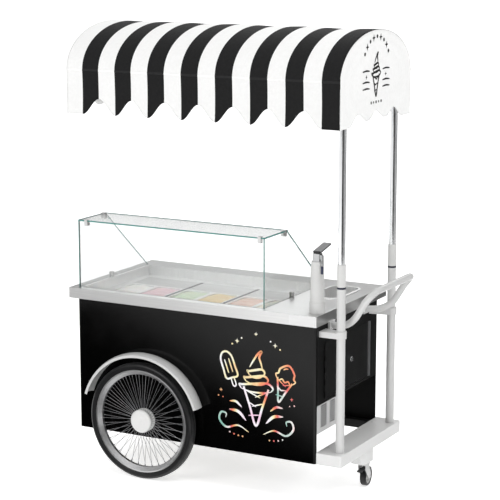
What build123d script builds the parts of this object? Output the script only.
"""Push vending cart for ice cream: a cabinet on two spoked wheels and a caster, under a barrel canopy.

Axes: +X towards the push handle, +Y towards the vendor, +Z up. The origin lies on the floor, under the
middle of the cart's box. All sizes are in millimetres.
"""
from build123d import *
from math import cos, pi, radians, sin
import os

os.makedirs("parts", exist_ok=True)

# ---------------------------------------------------------------- driving dimensions
cabinet_length = 1360
cabinet_depth = 706
left = -782  # the cabinet's left end
mid = -17  # plane of symmetry of the cabinet, the wheels and the canopy
right = left + cabinet_length
front = mid - cabinet_depth / 2
back = mid + cabinet_depth / 2

sheet = 1.5  # cabinet panels
corner_radius = 12
panel_return = 14
skirt_bottom = 203
housing_bottom = 349
band_bottom = 489
body_top = 880

worktop_top = 934
worktop_sheet = 2
worktop_overhang_left = 58
worktop_depth = 815

glass = 6
glass_left = left - 14
glass_right = left + 1059
glass_front = front + 36
glass_top = 1277
top_glass_depth = 249
side_glass_depth = 661

liner = 1.5
tub_wall = 25
well_x = (left + 5, left + 1050)
well_y = (front + 46, front + 683)
ledge_z = 882
seat_z = 879.7
bay_count = 3
bay_width = 325  # two gelato pans side by side
bay_depth = 528
bar_width = 14
bar_wing = 8
pan_length = 360
pan_width = 161.5
pan_depth = 120
pan_sheet = 1.5
pan_rim = 9
bays_left = left + 42
bays_front = front + 98

sink_x = (left + 1118, left + 1292)
sink_y = (front + 378, front + 690)
sink_rim = 13
sink_depth = 140
drain_radius = 22

tap_x = left + 1321
tap_y = front + 88
tap_top = 1186
tower_radius = 30.5
spout_reach = 38
spout_turn = -28  # from +X
lever_length = 118
lever_tilt = 12

rail_z = (205, 245)
platform_length = 137
platform_z = (205, 261.6)
post_x = left + 1462
post_offset = 293.5  # from the plane of symmetry
post_radius = 21.2
post_bore = 18.6
post_top = 1070
ring_top = 1079
sleeve_top = 1188
upright_radius = 16.85
upright_bore = 14.25
upright_bottom = 700

canopy_x = (left - 10, left + 1498)
canopy_half = 403
canopy_seam = 2057
canopy_rise = 220
canopy_low = 1837
canopy_high = 1916  # top of the scallops
canopy_cloth = 4
stripe_count = 16
beam_z = 2040
beam_radius = 15
bow_count = 5
bow_radius = 7

wheel_x = left + 407
wheel_radius = 300
wheel_offset = 391  # wheel's middle plane from the plane of symmetry
tyre_width = 62
rim_radius = 265
rim_bore = 240
rim_width = 50
rim_wall = 4
hub_radius = 60
hub_waist = 54
hub_width = 60
axle_radius = 10
spokes_per_side = 36
spoke_radius = 1

caster_x = left + 1453
caster_height = 134.5
caster_wheel_radius = 50
caster_width = 32
caster_trail = 38
caster_turn = 94  # how far the trailing wheel is swivelled from +X

door_y = (front + 101, front + 606)
door_z = (506, 791)
door_gap = 3
door_thickness = 22
grip_width = 13
lock_y = front + 379
lock_z = 645

louvre_rows = 10
louvre_pitch = 11.3
louvre_gap = 6.5
fan_radius = 54

handle_offset = 228  # arms from the plane of symmetry
foot_offset = 196
foot_plate = (59, 44, 12)
handle_radius = 16.85
handle_bore = 14.25
grip_x = left + 1605
grip_z = 1056

mirror_plane = Plane(origin=(0, mid, 0), z_dir=(0, 1, 0))


# ---------------------------------------------------------------- helpers
def block(x, y, z):
    """Box between the low and high end given for each axis."""
    spans = (x, y, z)
    size = [high - low for low, high in spans]
    centre = [(high + low) / 2 for low, high in spans]
    return Pos(*centre) * Box(*size)


def rod(x, y, z, radius, bore=0.0):
    """Round bar, or tube, along the one axis that is given as a (low, high) pair."""
    places = (x, y, z)
    axis = next(i for i in range(3) if isinstance(places[i], tuple))
    low, high = places[axis]
    centre = list(places)
    centre[axis] = (low + high) / 2
    shape = Cylinder(radius, high - low)
    if bore:
        shape -= Cylinder(bore, high - low)
    turn = (Rot(0, 90, 0), Rot(90, 0, 0), Rot(0, 0, 0))[axis]
    return Pos(*centre) * turn * shape


def rounded(x, y, z, radius):
    """Box with rounded upright edges."""
    shape = block(x, y, z)
    return fillet(shape.edges().filter_by(Axis.Z), radius)


def twin(shape):
    """The shape's mirror image across the cart's plane of symmetry."""
    return mirror(shape, about=mirror_plane)


def save(name, *shapes):
    solids = [solid for shape in shapes for solid in shape.solids()]
    export_step(Compound(solids), f"parts/{name}.step")


def grown(span, by):
    return (span[0] - by, span[1] + by)


# ---------------------------------------------------------------- cabinet
def skin_panel():
    """Front skin: a sheet folded round both upright corners, with a hole for the axle."""
    outer = block((left, right), (front, front + panel_return), (skirt_bottom, body_top))
    corners = outer.edges().filter_by(Axis.Z).group_by(Axis.Y)[0]
    outer = fillet(corners, corner_radius)
    inner = block(
        (left + sheet, right - sheet),
        (front + sheet, front + panel_return + 1),
        (skirt_bottom - 1, body_top + 1),
    )
    inner = fillet(inner.edges().filter_by(Axis.Z).group_by(Axis.Y)[0], corner_radius - sheet)
    hole = rod(wheel_x, (front - 1, front + sheet + 1), wheel_radius, 16)
    return outer - inner - hole


def cabinet():
    inside_y = (front + panel_return, back - panel_return)
    inlet_x = left + 1180
    inlet_z = 560
    inlet_span = (inlet_x - 25, inlet_x + 25)
    inlet_hole = block(inlet_span, (back - sheet - 1, back + 1), (inlet_z - 15, inlet_z + 15))
    save("front_panel", skin_panel())
    save("rear_panel", twin(skin_panel()) - inlet_hole)
    save("left_end_panel", block((left, left + sheet), inside_y, (housing_bottom, body_top)))

    end = block((right - sheet, right), inside_y, (band_bottom, body_top))
    opening = block((right - sheet - 1, right + 1), grown(door_y, door_gap), grown(door_z, door_gap))
    save("right_end_panel", end - opening)

    flange = rounded((inlet_x - 30, inlet_x + 30), (0, 3), (inlet_z - 20, inlet_z + 20), 0.5)
    flange = Pos(0, back, 0) * flange
    body = block((inlet_x - 24, inlet_x + 24), (back - 30, back), (inlet_z - 14, inlet_z + 14))
    socket = block((inlet_x - 14, inlet_x + 14), (back - 18, back + 4), (inlet_z - 8, inlet_z + 8))
    save("power_inlet", flange + body - socket)


def door():
    """Storage door, hinged on its front edge, with a grip profile down its free edge and a cam lock."""
    x = (right - door_thickness, right)
    panel = block(x, door_y, door_z)
    panel -= block((x[0] - 1, x[1] - sheet), grown(door_y, -sheet), grown(door_z, -sheet))
    panel += rod((right - 12, right), lock_y, lock_z, 16)
    panel -= rod((right - 30, right + 1), lock_y, lock_z, 9.5)
    leaf = block((right, right + 1.5), (door_y[0], door_y[0] + 16), door_z)
    hinge_y = door_y[0] - 5
    knuckles = [z for z in range(int(door_z[0]) + 10, int(door_z[1]) - 40, 60)]
    for z in knuckles:
        leaf += rod(right + 4, hinge_y, (z, z + 29), 4, 2.05)
        leaf += block((right, right + 1.5), (hinge_y, door_y[0]), (z, z + 29))
    save("door_panel", panel + leaf)

    pin = rod(right + 4, hinge_y, door_z, 2)
    for z in knuckles:
        barrel = rod(right + 4, hinge_y, (z + 30, z + 59), 4, 2)
        tab = block((right, right + 1.5), (hinge_y - 16, hinge_y), (z + 30, z + 59))
        pin += barrel + tab - rod(right + 4, hinge_y, door_z, 2)
    save("door_hinge", pin)

    grip = block((right, right + 7), (door_y[1] - grip_width, door_y[1]), door_z)
    groove = block((right + 2, right + 8), (door_y[1] - grip_width + 4, door_y[1] - 3), grown(door_z, 1))
    save("door_grip", grip - groove)

    barrel = rod((right - 30, right + 2), lock_y, lock_z, 9.4)
    knob = rod((right + 0.3, right + 12), lock_y, lock_z, 14)
    knob = fillet(knob.edges().group_by(Axis.X)[-1], 2)
    cam = block((right - 34, right - 30), (lock_y - 8, lock_y + 8), (lock_z - 8, lock_z + 38))
    save("door_lock", barrel + knob + cam)


def bay_left(bay):
    return bays_left + bay * (bay_width + bar_width)


def insulation():
    """Foam body round the well, and the stainless liner with its ledge, pan seat and deep bay."""
    seat_x = grown((bays_left, bay_left(bay_count - 1) + bay_width), 0.5)
    seat_y = grown((bays_front, bays_front + bay_depth), 0.5)
    deep_x = grown(seat_x, -pan_rim + 0.5)
    deep_y = grown(seat_y, -pan_rim - 3)
    floor = seat_z - pan_depth - 10

    hollow = block(well_x, well_y, (ledge_z, worktop_top + 1))
    hollow += block(seat_x, seat_y, (seat_z, ledge_z))
    hollow += rounded(deep_x, deep_y, (floor, seat_z), 20)
    shell = block(grown(well_x, liner), grown(well_y, liner), (ledge_z - liner, worktop_top))
    shell += block(grown(seat_x, liner), grown(seat_y, liner), (seat_z - liner, ledge_z))
    shell += rounded(grown(deep_x, liner), grown(deep_y, liner), (floor - liner, seat_z), 22)
    save("well_liner", shell - hollow)

    foam = rounded(
        grown(deep_x, tub_wall), grown(deep_y, tub_wall), (floor - tub_wall, seat_z - liner), 22 + tub_wall
    )
    save("insulated_tub", foam - shell - hollow)

    bars = []
    fillers = []
    filler_y = (bays_front + pan_length + 1, bays_front + bay_depth)
    for bay in range(bay_count):
        x = (bay_left(bay) + 0.5, bay_left(bay) + bay_width - 0.5)
        plate = block(x, filler_y, (seat_z, seat_z + pan_sheet))
        step_y = (filler_y[0] - 13, filler_y[0] + 2)
        step = block(grown(x, -pan_rim - 1), step_y, (seat_z - 22, seat_z))
        step -= block(x, grown(step_y, -pan_sheet), (seat_z - 23, seat_z - pan_sheet))
        fillers.append(plate + step)
        if bay:
            rib_x = (bay_left(bay) - bar_width + 0.3, bay_left(bay) - 0.3)
            wings = block(grown(rib_x, bar_wing), deep_y, (seat_z - 14, seat_z))
            bars.append(wings + block(rib_x, seat_y, (seat_z, seat_z + 3)))
    bar_space = bars[0] + bars[1]
    save("pan_bars", *bars)
    save("bay_fillers", *[filler - bar_space for filler in fillers])


def pan(x, y):
    """One gelato pan: a tapered box with a flat rim that hangs on the seat."""
    flange = rounded((0, pan_width), (0, pan_length), (0, pan_sheet), 10)
    middle = Pos(pan_width / 2, pan_length / 2)

    def tapered(inset, floor, top):
        width = pan_width - 2 * pan_rim - 2 * inset
        length = pan_length - 2 * pan_rim - 7 - 2 * inset
        high = Plane.XY.offset(top) * middle * RectangleRounded(width, length, 20 - inset)
        low = Plane.XY.offset(floor) * middle * RectangleRounded(width - 10, length - 10, 20 - inset)
        return loft(Sketch() + [low, high])

    outside = tapered(0, -pan_depth, pan_sheet)
    inside = tapered(pan_sheet, pan_sheet - pan_depth, pan_sheet + 0.01)
    return Pos(x, y, seat_z + 0.3) * (flange + outside - inside)


def pans():
    number = 1
    for bay in range(bay_count):
        for side in range(2):
            x = bay_left(bay) + 0.5 + side * (pan_width + 1)
            save(f"pan_{number}", pan(x, bays_front))
            number += 1


def worktop():
    """Folded stainless top with a deep apron, cut out for the well and the sink."""
    x = (left - worktop_overhang_left, right)
    y = (front, front + worktop_depth)
    top = block(x, y, (body_top, worktop_top))
    top = fillet(top.edges().filter_by(Axis.Z), 6)
    top = fillet(top.edges().group_by(Axis.Z)[-1], 3)
    top -= block(
        grown(x, -worktop_sheet),
        grown(y, -worktop_sheet),
        (body_top - 1, worktop_top - worktop_sheet),
    )
    top -= block(grown(well_x, liner), grown(well_y, liner), (body_top, worktop_top + 1))
    bowl_x = grown(sink_x, -sink_rim + 2)
    bowl_y = grown(sink_y, -sink_rim + 2)
    top -= rounded(bowl_x, bowl_y, (body_top, worktop_top + 1), 47)
    save("worktop", top)


def sink():
    """Drop-in bowl with wide corners and a raised rim, and its waste."""
    bowl_x = grown(sink_x, -sink_rim)
    bowl_y = grown(sink_y, -sink_rim)
    floor = worktop_top - sink_depth
    x = sum(bowl_x) / 2
    y = sum(bowl_y) / 2
    rim = rounded(sink_x, sink_y, (worktop_top, worktop_top + 5), 58)
    rim = fillet(rim.edges().group_by(Axis.Z)[-1], 2)
    outside = rounded(grown(bowl_x, 1.5), grown(bowl_y, 1.5), (floor, worktop_top), 46.5)
    outside = fillet(outside.edges().group_by(Axis.Z)[0], 12)
    inside = rounded(bowl_x, bowl_y, (floor + 1.5, worktop_top + 6), 45)
    inside = fillet(inside.edges().group_by(Axis.Z)[0], 10)
    hole = rod(x, y, (floor - 1, floor + 3), drain_radius)
    bowl = rim + outside - inside - hole

    waste = rod(x, y, (floor - 30, floor + 1.5), drain_radius, drain_radius - 3)
    waste += rod(x, y, (floor - 6, floor), drain_radius + 6, drain_radius)
    waste += rod(x, y, (floor - 2, floor), drain_radius, 3)
    for turn in range(0, 360, 60):
        along = radians(turn)
        waste -= rod(x + 12 * cos(along), y + 12 * sin(along), (floor - 3, floor + 1), 3.5)
    save("sink_bowl", bowl, waste)


def tap():
    """Pillar tap: a tall tower, a turning valve head with its short spout, and a paddle lever."""
    tower = rod(tap_x, tap_y, (worktop_top, 988), 38)
    column = Pos(tap_x, tap_y, (988 + tap_top) / 2) * Cone(35.5, tower_radius, tap_top - 988)
    column = fillet(column.edges().group_by(Axis.Z)[-1], 3)
    save("tap_tower", fillet(tower.edges().group_by(Axis.Z)[-1], 2) + column)

    head = rounded((tap_x - 19, tap_x + 19), (tap_y - 18, tap_y + 18), (tap_top + 0.3, tap_top + 38), 4)
    head = fillet(head.edges().group_by(Axis.Z)[-1], 2)
    arm = block((0, spout_reach), (-6, 6), (tap_top + 14, tap_top + 34))
    arm += rounded((spout_reach - 6, spout_reach + 6), (-6, 6), (tap_top - 18, tap_top + 34), 2)
    arm += rod(spout_reach, 0, (tap_top - 58, tap_top - 18), 5)
    arm -= rod(spout_reach, 0, (tap_top - 59, tap_top + 26), 3)
    save("tap_head", head + Pos(tap_x, tap_y, 0) * Rot(0, 0, spout_turn) * arm)

    pivot_y = tap_y - 8
    pivot_z = tap_top + 44.5
    hub = rod((tap_x - 16, tap_x + 16), pivot_y, pivot_z, 6)
    paddle = block((tap_x - 22, tap_x + 22), (pivot_y, pivot_y + lever_length), (pivot_z - 3, pivot_z + 3))
    paddle = fillet(paddle.edges().filter_by(Axis.Z), 4)
    tilt = Pos(0, pivot_y, pivot_z) * Rot(lever_tilt, 0, 0) * Pos(0, -pivot_y, -pivot_z)
    save("tap_lever", hub + tilt * paddle)


def display_glass():
    """Sneeze guard: front, top and two side panes, held by six clamps."""
    x = (glass_left, glass_right)
    front_pane = block(x, (glass_front, glass_front + glass), (worktop_top, glass_top))
    top_pane = block(x, (glass_front, glass_front + top_glass_depth), (glass_top, glass_top + glass))
    outline = Polyline(
        (glass_front + glass, worktop_top),
        (glass_front + side_glass_depth, worktop_top),
        (glass_front + top_glass_depth, glass_top),
        (glass_front + glass, glass_top),
        close=True,
    )
    side = extrude(Plane.YZ * make_face(outline), glass)
    sides = [Pos(x[0], 0, 0) * side, Pos(x[1] - glass, 0, 0) * side]
    save("front_glass", front_pane)
    save("top_glass", top_pane)
    save("side_glasses", *sides)

    clamps = []
    for clamp_x in (glass_left + 47, glass_right - 26):
        clamp_y = (glass_front - 3, glass_front + 22)
        corner = block((clamp_x - 9, clamp_x + 9), clamp_y, (glass_top - 22, glass_top + 9))
        clamps.append(corner)
    for inner, pane_x in ((1, glass_left), (-1, glass_right)):
        high = block(
            (min(pane_x - 3 * inner, pane_x + 22 * inner), max(pane_x - 3 * inner, pane_x + 22 * inner)),
            (glass_front + top_glass_depth - 34, glass_front + top_glass_depth - 16),
            (glass_top - 22, glass_top + 9),
        )
        low = block(
            (min(pane_x - 6 * inner, pane_x + 12 * inner), max(pane_x - 6 * inner, pane_x + 12 * inner)),
            (glass_front + 288, glass_front + 310),
            (worktop_top, worktop_top + 26),
        )
        clamps += [high, low]
    panes = front_pane + top_pane + sides[0] + sides[1]
    save("glass_clamps", *[clamp - panes for clamp in clamps])


# ---------------------------------------------------------------- running gear and frame
def chassis():
    """Two long rails tied by cross members, with plates that hold the axle."""
    rail_y = (front + panel_return, front + panel_return + 40)
    rail = block((left + 20, right), rail_y, rail_z)
    rail -= block((left + 19, right + 1), grown(rail_y, -2), grown(rail_z, -2))
    plate = block((wheel_x - 40, wheel_x + 40), grown(rail_y, -14), (rail_z[1], wheel_radius + 35))
    plate -= rod(wheel_x, (front, front + 60), wheel_radius, axle_radius)
    half = rail + plate
    frame = half + twin(half)
    for x in (wheel_x - 180, wheel_x + 180, wheel_x + 560):
        frame += block((x - 15, x + 15), (rail_y[1], 2 * mid - rail_y[1]), grown(rail_z, -5))
    save("chassis_rails", frame)

    reach = wheel_offset + hub_width / 2 - 8.5
    save("wheel_axle", rod(wheel_x, (mid - reach, mid + reach), wheel_radius, axle_radius))


def base_platform():
    x = (right, right + platform_length)
    y = (front, back)
    deck = rounded(x, y, platform_z, 12)
    deck = fillet(deck.edges().group_by(Axis.Z)[-1], 3)
    deck -= rounded(grown(x, -sheet), grown(y, -sheet), (platform_z[0] - 1, platform_z[1] - sheet), 8)

    box_x = (left + 1400, left + 1487)
    box_y = (mid - 62, mid + 62)
    z = (caster_height, platform_z[1] - sheet)
    box = block(box_x, box_y, z)
    box = chamfer(box.edges().filter_by(Axis.Z), 22)
    inner = block(grown(box_x, -sheet), grown(box_y, -sheet), (z[0] + 6, z[1] + 1))
    inner = chamfer(inner.edges().filter_by(Axis.Z), 20)
    save("base_platform", deck, box - inner - rod(caster_x, mid, (z[0] - 1, z[0] + 7), 6.05))


def posts():
    """Canopy posts, their top seals, and the brackets that tie them to the cabinet."""
    y = mid - post_offset
    post = rod(post_x, y, (platform_z[1], post_top), post_radius, post_bore)
    seal = rod(post_x, y, (post_top, ring_top), post_radius + 0.6, upright_radius + 0.3)
    save("canopy_posts", post, twin(post))
    save("post_seals", seal, twin(seal))

    z = (829, 857)
    plan = Polyline(
        (right, front + 30),
        (post_x, y - 27),
        (post_x, y + 27),
        (right, front + 106),
        close=True,
    )
    arm = Pos(0, 0, z[0]) * extrude(make_face(plan), z[1] - z[0])
    pocket = Polyline(
        (right + 4, front + 36),
        (post_x - 30, y - 22),
        (post_x - 30, y + 22),
        (right + 4, front + 98),
        close=True,
    )
    arm -= Pos(0, 0, z[0] - 1) * extrude(make_face(pocket), z[1] - z[0] - 3)
    arm += rod(post_x, y, (z[0], z[1] + 7), 27)
    arm -= rod(post_x, y, (z[0] - 1, z[1] + 8), post_radius)
    save("post_brackets", arm, twin(arm))


def push_handle():
    """One tube bent into a bow, from two foot plates on the end panel up to the cross grip."""
    width, height, thickness = foot_plate
    base_x = right + thickness
    base_z = 865
    side = [
        (base_x - 2, foot_offset, base_z),
        (left + 1476, handle_offset, 869),
        (left + 1560, handle_offset, 1005),
        (grip_x, handle_offset, grip_z),
    ]
    points = [(x, mid - y, z) for x, y, z in side] + [(x, mid + y, z) for x, y, z in reversed(side)]
    path = FilletPolyline(*points, radius=[140, 180, 45, 45, 180, 140])
    start = Plane(origin=points[0], z_dir=path % 0)
    ring = Circle(handle_radius) - Circle(handle_bore)
    tube = sweep(start * ring, path)
    tube -= block((right - 20, base_x), (mid - 260, mid + 260), (830, 900))
    plate = block(
        (right, base_x),
        (mid - foot_offset - width / 2, mid - foot_offset + width / 2),
        (base_z - height / 2, base_z + height / 2),
    )
    plate = chamfer(plate.edges().group_by(Axis.X)[-1], 1.5)
    save("push_handle", tube, plate, twin(plate))


def mast():
    """Telescoping uprights with their twist-lock sleeves, and the welded frame inside the canopy."""
    y = mid - post_offset
    upright = rod(post_x, y, (upright_bottom, beam_z), upright_radius, upright_bore)
    save("mast_uprights", upright, twin(upright))
    sleeve = rod(post_x, y, (ring_top + 0.3, sleeve_top), post_radius, upright_radius + 0.07)
    save("front_lock_sleeve", sleeve)
    save("rear_lock_sleeve", twin(sleeve))

    span = (canopy_x[0] + 12, canopy_x[1] - 12)
    pitch = (span[1] - span[0] - 2 * bow_radius) / (bow_count - 1)
    rail_radius = bow_radius + 2
    rail_y = canopy_half - canopy_cloth - rail_radius - 0.3
    beam_y = post_offset
    z = beam_z + beam_radius
    half = [
        rod(span, mid - beam_y, z, beam_radius, beam_radius - 2),
        rod(span, mid - rail_y, z, rail_radius, bow_radius),
    ]
    members = half + [twin(member) for member in half]
    used = members[0] + members[1] + members[2] + members[3]
    used += rod(span, mid - beam_y, z, beam_radius) + rod(span, mid + beam_y, z, beam_radius)
    used += rod(span, mid - rail_y, z, rail_radius) + rod(span, mid + rail_y, z, rail_radius)
    bow_rise = canopy_seam + canopy_rise - canopy_cloth - bow_radius - 0.3 - z
    for i in range(bow_count):
        x = span[0] + bow_radius + i * pitch
        tie = rod(x, (mid - rail_y, mid + rail_y), z, bow_radius) - used
        members += tie.solids()
        members += bow(x, rail_y, bow_rise, z, used)
    save("canopy_frame", *members)


def bow(x, half_width, rise, z, used):
    """Half-elliptic bow of round bar across the canopy at x, in four lengths."""
    plane = Plane(origin=(x, mid, z), x_dir=(0, 1, 0), z_dir=(1, 0, 0))
    lengths = []
    for start in range(0, 180, 45):
        arc = plane * EllipticalCenterArc((0, 0), half_width, rise, start_angle=start, arc_size=45)
        section = Plane(origin=arc @ 0, z_dir=arc % 0) * Circle(bow_radius)
        lengths += (sweep(section, arc) - used).solids()
    return lengths


def hem_cut(low_x, high_x, count, plain):
    """Face under a scalloped hem from low_x to high_x; `plain` scallops at each end stay straight."""
    middle = (canopy_low + canopy_high) / 2
    swing = (canopy_high - canopy_low) / 2
    step = (high_x - low_x) / count
    inner = [low_x + plain * step + i * step / 4 for i in range(4 * (count - 2 * plain) + 1)]
    hem = [(x, middle - swing * cos(pi * (x - inner[0]) / step) - 0.5) for x in inner]
    floor = canopy_low - 20
    right_side = [hem[-1], (high_x, hem[-1][1]), (high_x, floor)]
    left_side = [(low_x, floor), (low_x, hem[0][1]), hem[0]]
    sides = Polyline(*right_side, *left_side)
    return make_face(Spline(*hem) + sides)


def canopy():
    """Cover: half-elliptic barrel, upright valance with scalloped hem, and two end walls."""

    def barrel(half_width, rise, x, low):
        arch = EllipticalCenterArc((0, canopy_seam), half_width, rise, start_angle=0, arc_size=180)
        drop = Polyline(
            (-half_width, canopy_seam),
            (-half_width, low),
            (half_width, low),
            (half_width, canopy_seam),
        )
        plane = Plane(origin=(x[0], mid, 0), x_dir=(0, 1, 0), z_dir=(1, 0, 0))
        return extrude(plane * make_face(arch + drop), x[1] - x[0])

    inner_x = grown(canopy_x, -canopy_cloth)
    inner_half = canopy_half - canopy_cloth
    cover = barrel(canopy_half, canopy_rise, canopy_x, canopy_low)
    cover -= barrel(inner_half, canopy_rise - canopy_cloth, inner_x, canopy_low - 1)

    long_plane = Plane(origin=(0, mid + canopy_half + 5, 0), x_dir=(1, 0, 0), z_dir=(0, -1, 0))
    long_cut = extrude(long_plane * hem_cut(*canopy_x, stripe_count, 1), 2 * canopy_half + 10)
    end_plane = Plane(origin=(canopy_x[0] - 5, mid, 0), x_dir=(0, 1, 0), z_dir=(1, 0, 0))
    end_hem = end_plane * hem_cut(-canopy_half, canopy_half, 8, 1)
    end_cut = extrude(end_hem, canopy_x[1] - canopy_x[0] + 10)
    whole_y = (mid - canopy_half - 10, mid + canopy_half + 10)
    low_z = (canopy_low - 30, canopy_high + 5)
    cover -= long_cut & block(inner_x, whole_y, low_z)
    cover -= end_cut & block(grown(canopy_x, 10), (mid - inner_half, mid + inner_half), low_z)
    save("canopy_cover", cover)


def turned(profile):
    """Solid of revolution about Z from (radius, height) points."""
    return revolve(Plane.XZ * make_face(Polyline(*profile, close=True)), Axis.Z)


def wheel(name, side):
    """Spoked wheel; side is -1 at the front and +1 at the vendor's side."""
    y = mid + side * wheel_offset
    place = Pos(wheel_x, y, wheel_radius) * Rot(90, 0, 0)

    bead = rim_radius - 7
    edge = rim_width / 2
    bed = 8  # half width of the spoke bed
    inner = [(bead, edge), (rim_bore, bed), (rim_bore, -bed), (bead, -edge)]
    pocket = [
        (bead + 2, edge - rim_wall),
        (rim_bore + rim_wall, bed - 2),
        (rim_bore + rim_wall, 2 - bed),
        (bead + 2, rim_wall - edge),
    ]
    flanges = [(rim_radius, -edge), (rim_radius, rim_wall - edge)]
    seat = [(rim_radius, edge - rim_wall), (rim_radius, edge)]
    save(f"{name}_rim", place * turned(inner + flanges + pocket[::-1] + seat))

    tread = Cylinder(wheel_radius, tyre_width)
    tread = fillet(tread.edges(), 9)
    base = turned(pocket + [flanges[1], seat[0]])
    save(f"{name}_tyre", place * (tread - Cylinder(rim_radius, tyre_width) + base))

    dome = [(0, hub_width / 2), (46, hub_width / 2), (55, 27)]
    half = dome + [(hub_radius, 20), (hub_radius, 14), (hub_waist, 9)]
    drum = turned(half + [(radius, -height) for radius, height in reversed(half)])
    outer_face = side * hub_width / 2
    drum -= Pos(0, 0, side * 8) * Cylinder(axle_radius + 0.06, hub_width)
    drum -= Pos(0, 0, -outer_face) * Cylinder(13, 4)
    save(f"{name}_hub", place * drum)

    ring = Cylinder(rim_bore, hub_width) - Cylinder(hub_radius, hub_width)
    spokes = []
    for i in range(2 * spokes_per_side):
        sign = 1 if i % 2 else -1
        turn = 2 * pi * i / (2 * spokes_per_side)
        lean = turn + sign * radians(9)
        foot = Vector(59 * cos(turn), 59 * sin(turn), sign * 17)
        tip = Vector(240.5 * cos(lean), 240.5 * sin(lean), sign * 7)
        length = (tip - foot).length
        spoke = Plane(origin=(foot + tip) / 2, z_dir=tip - foot) * Cylinder(spoke_radius, length)
        spokes.append(place * (spoke & ring))
    save(f"{name}_spokes", *spokes)


def fenders():
    """Mudguards: a crowned band with a front lip, fixed to the cabinet along its inner edge."""
    reach = 75
    outer = ThreePointArc((344, -reach), (351, -45), (340, 0))
    inner = ThreePointArc((336, 0), (347, -45), (341, -reach + 4))
    section = outer + Line((340, 0), (336, 0)) + inner
    section += Polyline((341, -reach + 4), (331, -reach + 4), (331, -reach), (344, -reach))
    level = Plane(origin=(wheel_x, front, wheel_radius), x_dir=(1, 0, 0), z_dir=(0, 0, 1))
    profile = level * make_face(section)
    axis = Axis((wheel_x, front, wheel_radius), (0, -1, 0))
    band = revolve(profile, axis, 144)
    start = Pos(wheel_x, 0, wheel_radius) * Rot(0, -18, 0) * Pos(-wheel_x, 0, -wheel_radius)
    guard = start * band
    save("wheel_fenders", guard, twin(guard))


def caster():
    """Braked swivel caster; it is built trailing along +X and then swivelled to rest."""
    spin = Pos(caster_x, mid, 0) * Rot(0, 0, caster_turn)
    top = caster_height - 0.3
    head = rod(0, 0, (top - 9, top), 33)
    head += rod(0, 0, (top - 14, top - 9), 28)
    head += rod(0, 0, (top, top + 12), 6)
    cheek = Polyline(
        (-20, 0),
        (26, 0),
        (caster_trail + 11, -62),
        (caster_trail + 11, -82),
        (caster_trail - 11, -82),
        (-18, -30),
        close=True,
    )
    leg = Pos(0, 0, top - 12) * extrude(Plane.XZ * make_face(cheek), 3)
    fork = head + Pos(0, -caster_width / 2 - 2, 0) * leg + Pos(0, caster_width / 2 + 5, 0) * leg
    fork += block((-20, 26), (-caster_width / 2 - 5, caster_width / 2 + 5), (top - 17, top - 12))
    axle_z = caster_wheel_radius
    fork -= rod(caster_trail, (-30, 30), axle_z, 5)
    fork += rod(caster_trail, (-caster_width / 2 - 8, caster_width / 2 + 8), axle_z, 5)
    fork += rod(-12, (-caster_width / 2 - 3, caster_width / 2 + 3), 96, 3)
    save("caster_fork", spin * fork)

    hub_place = Pos(caster_trail, 0, axle_z) * Rot(90, 0, 0)
    core = Cylinder(37, caster_width - 6) - Cylinder(31, caster_width)
    core += Cylinder(31, 8)
    core += Cylinder(11, caster_width)
    core -= Cylinder(5.06, caster_width + 1)
    for turn in range(0, 360, 72):
        core -= Rot(0, 0, turn) * Pos(21, 0, 0) * Cylinder(6, 20)
    tread = fillet(Cylinder(caster_wheel_radius, caster_width).edges(), 6)
    save("caster_wheel", spin * hub_place * core)
    save("caster_tyre", spin * hub_place * (tread - Cylinder(37, caster_width + 1)))

    pedal = rod(-12, (-caster_width / 2 + 2, caster_width / 2 - 2), 96, 7, 3.06)
    pedal += block((-52, -17), (-13, 13), (95, 99))
    pedal += block((-56, -48), (-13, 13), (92, 99))
    pedal -= rod(-12, (-20, 20), 96, 3.06)
    save("brake_pedal", spin * pedal)


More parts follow.
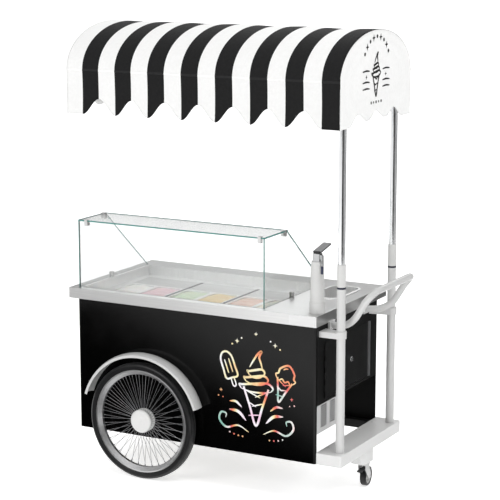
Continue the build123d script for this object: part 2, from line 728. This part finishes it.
# ---------------------------------------------------------------- inside
def machine():
    """Cooling machine on its tray behind the louvred grille, and the storage liner above it."""
    y = (front + panel_return, front + 266)
    z = (housing_bottom, band_bottom)
    x0 = left + 900
    tray = block((x0, right - 2), y, (z[0], z[0] + 2))
    tray += block((x0, right - 2), (y[1] - 2, y[1]), z)
    tray += block((x0, x0 + 2), y, z)
    save("machine_tray", tray)

    store_x = (left + 1078, right - sheet)
    store_y = (front + panel_return, back - panel_return)
    floor = block(store_x, store_y, (band_bottom, band_bottom + 3))
    wall = block((store_x[0], store_x[0] + 3), store_y, (band_bottom, body_top))
    save("storage_liner", floor + wall)

    grille = block((right - 2, right), (front + panel_return, y[1]), z)
    for column in ((front + 56, front + 124), (front + 155, front + 215)):
        for row in range(louvre_rows):
            slot_z = 374 + row * louvre_pitch
            grille -= block((right - 3, right + 1), column, (slot_z, slot_z + louvre_gap))
            lip_x = (right - 7, right - 2)
            grille += block(lip_x, column, (slot_z + louvre_gap, slot_z + louvre_gap + 1))
    save("louvre_grille", grille)

    can_x = x0 + 110
    fan_y = front + 140
    deck = z[0] + 2
    can = rod(can_x, fan_y, (deck + 12, z[1] - 18), 55)
    can = fillet(can.edges(), 12)
    can += block((can_x - 70, can_x + 70), grown((fan_y, fan_y), 50), (deck, deck + 5))
    can += rod(can_x, fan_y, (deck + 5, deck + 14), 40)
    can += block((can_x + 50, can_x + 70), grown((fan_y, fan_y), 20), (deck + 50, deck + 90))
    save("compressor", can)

    core_x = (right - 72, right - 32)
    core_y = (front + 40, front + 240)
    core_z = (deck, z[1] - 10)
    fan_z = sum(core_z) / 2
    core = block(core_x, core_y, core_z)
    for row in range(11):
        fin_z = deck + 6 + row * 11
        core -= block(grown(core_x, 1), grown(core_y, -6), (fin_z, fin_z + 7))
    shroud_x = (core_x[0] - 26, core_x[0])
    shroud = block(shroud_x, core_y, core_z) - rod(grown(shroud_x, 1), fan_y, fan_z, fan_radius + 5)
    strut_x = (shroud_x[0], shroud_x[0] + 4)
    spider = rod(strut_x, fan_y, fan_z, 12)
    spider += block(strut_x, grown((fan_y, fan_y), 4), grown((fan_z, fan_z), fan_radius + 7))
    spider += rod((strut_x[1], core_x[0] - 4), fan_y, fan_z, 3)
    save("condenser", core + shroud + spider)

    fan_x = core_x[0] - 13
    fan = rod((fan_x - 7, fan_x + 7), fan_y, fan_z, 14)
    blade = Pos(0, (fan_radius + 13) / 2, 0) * Rot(0, 30, 0) * Box(2, fan_radius - 13, 16)
    for turn in range(0, 360, 72):
        fan += Pos(fan_x, fan_y, fan_z) * Rot(turn, 0, 0) * blade
    fan -= rod((fan_x - 17, fan_x + 17), fan_y, fan_z, 3.06)
    save("condenser_fan", fan)


def water_tanks():
    """Clean and waste water cans, standing in the rear half of the storage space."""
    cans = []
    for x0 in (left + 1086, left + 1204):
        can = rounded((x0, x0 + 110), (front + 360, front + 600), (band_bottom + 3, 740), 18)
        can = fillet(can.edges().group_by(Axis.Z)[-1], 10)
        can += rod(x0 + 55, front + 410, (740, 765), 22)
        cans.append(can)
    save("water_tanks", *cans)


cabinet()
door()
insulation()
pans()
worktop()
sink()
tap()
display_glass()
chassis()
base_platform()
posts()
push_handle()
mast()
canopy()
wheel("front_wheel", -1)
wheel("rear_wheel", 1)
fenders()
caster()
machine()
water_tanks()
